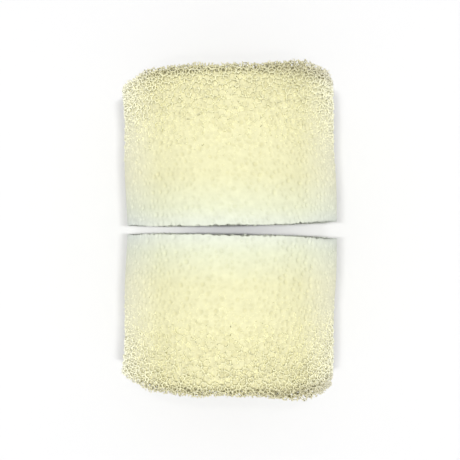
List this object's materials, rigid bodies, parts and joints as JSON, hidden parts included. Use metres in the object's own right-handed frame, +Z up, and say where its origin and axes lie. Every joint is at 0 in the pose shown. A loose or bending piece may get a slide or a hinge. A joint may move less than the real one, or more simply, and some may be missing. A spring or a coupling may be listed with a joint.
{
  "type": "aquarium filter sponge set",
  "caption": "Round open-cell foam filter cartridges with a central bore, lying end to end; one slides along the shared axis.",
  "frame": {"origin": "on the floor, midway between the facing ends of the two sponges", "axes": "+Z up from the floor; the sponges' common axis runs along Y, with the upper sponge towards +Y"},
  "size_m": [0.062, 0.086, 0.0613],
  "materials": {
    "cream_foam": "matte"
  },
  "bodies": {
    "lower_cartridge": {"lower_sponge": "cream_foam"},
    "upper_cartridge": {"upper_sponge": "cream_foam"}
  },
  "joints": [
    {"name": "upper_slide", "type": "slide", "parent": "lower_cartridge", "child": "upper_cartridge", "axis": [0, 1, 0], "range_m": [-0.001, 0.045]}
  ]
}
